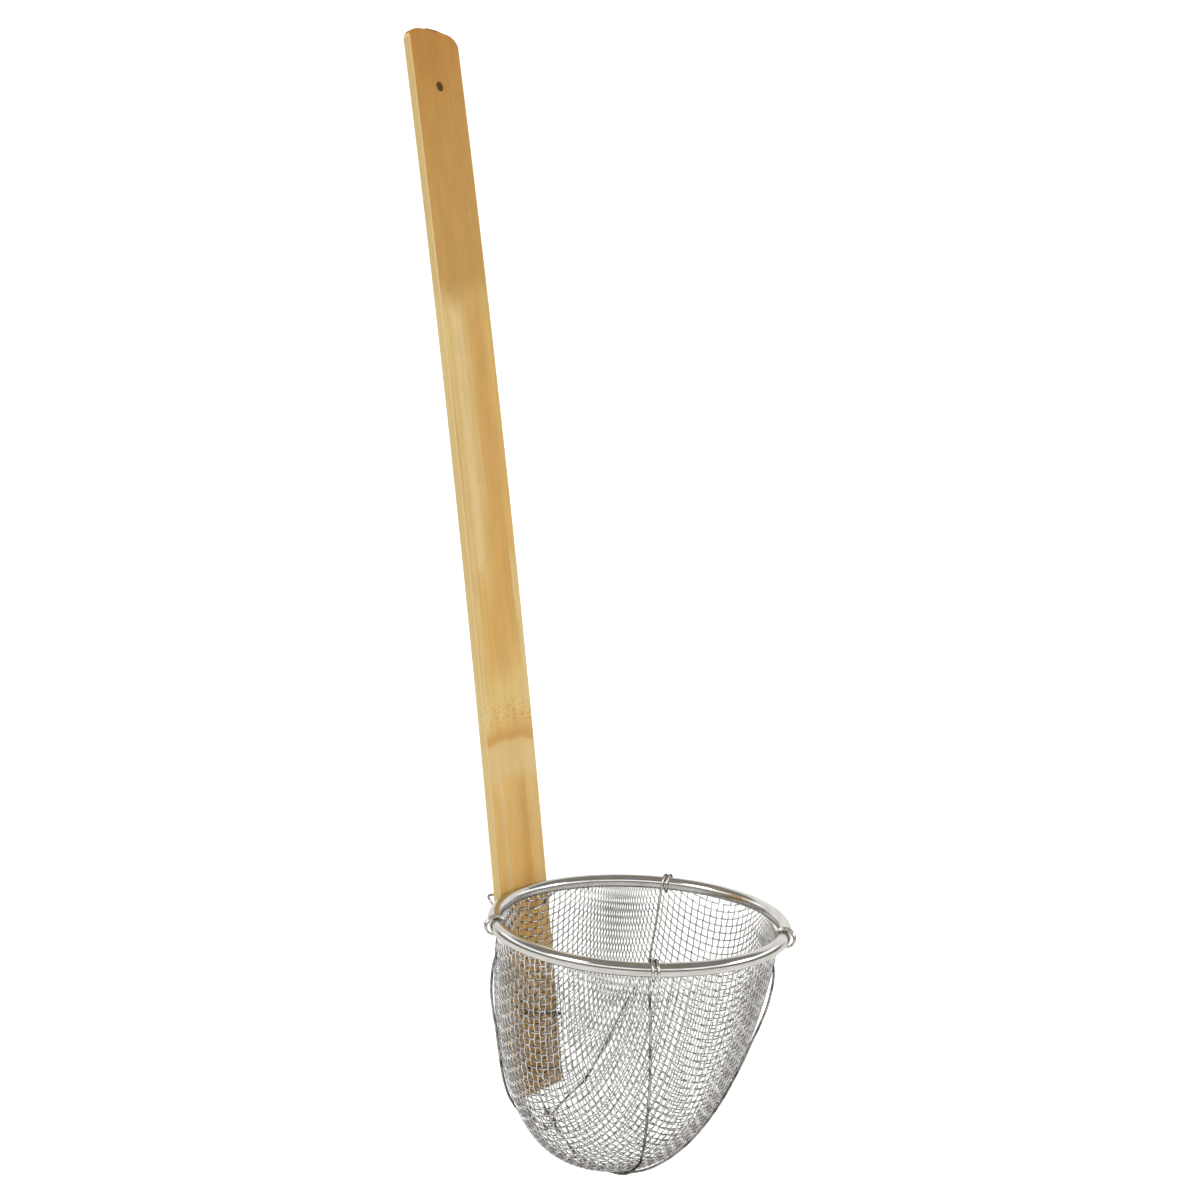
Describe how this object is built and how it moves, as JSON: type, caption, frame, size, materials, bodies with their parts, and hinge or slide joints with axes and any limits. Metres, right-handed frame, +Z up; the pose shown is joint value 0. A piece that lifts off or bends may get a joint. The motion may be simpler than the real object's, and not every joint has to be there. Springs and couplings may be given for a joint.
{
  "type": "tea strainer",
  "caption": "Deep round-bottomed wire-cloth strainer on a long bamboo handle, with a rolled steel rim and wire ribs, for lifting tea leaves out of hot liquor",
  "frame": {"origin": "centre of the hanging hole, halfway through the slat", "axes": "+Z up with the rim level, +Y from the bag towards the handle, +X to the right when looking along +Y"},
  "size_m": [0.1498, 0.239, 0.5689],
  "materials": {
    "rim_steel": "polished stainless steel",
    "cloth_steel": "bright drawn stainless wire",
    "wire_steel": "drawn stainless wire, slightly dull",
    "bamboo": "planed bamboo, bare"
  },
  "bodies": {
    "root": {"rim_ring": "rim_steel", "mesh_basket": "cloth_steel", "front_rib_keel": "wire_steel", "right_rib": "wire_steel", "left_rib": "wire_steel", "back_rib": "wire_steel", "rim_tie": "wire_steel", "upper_staple": "wire_steel", "lower_staple": "wire_steel", "handle": "bamboo"}
  },
  "joints": []
}
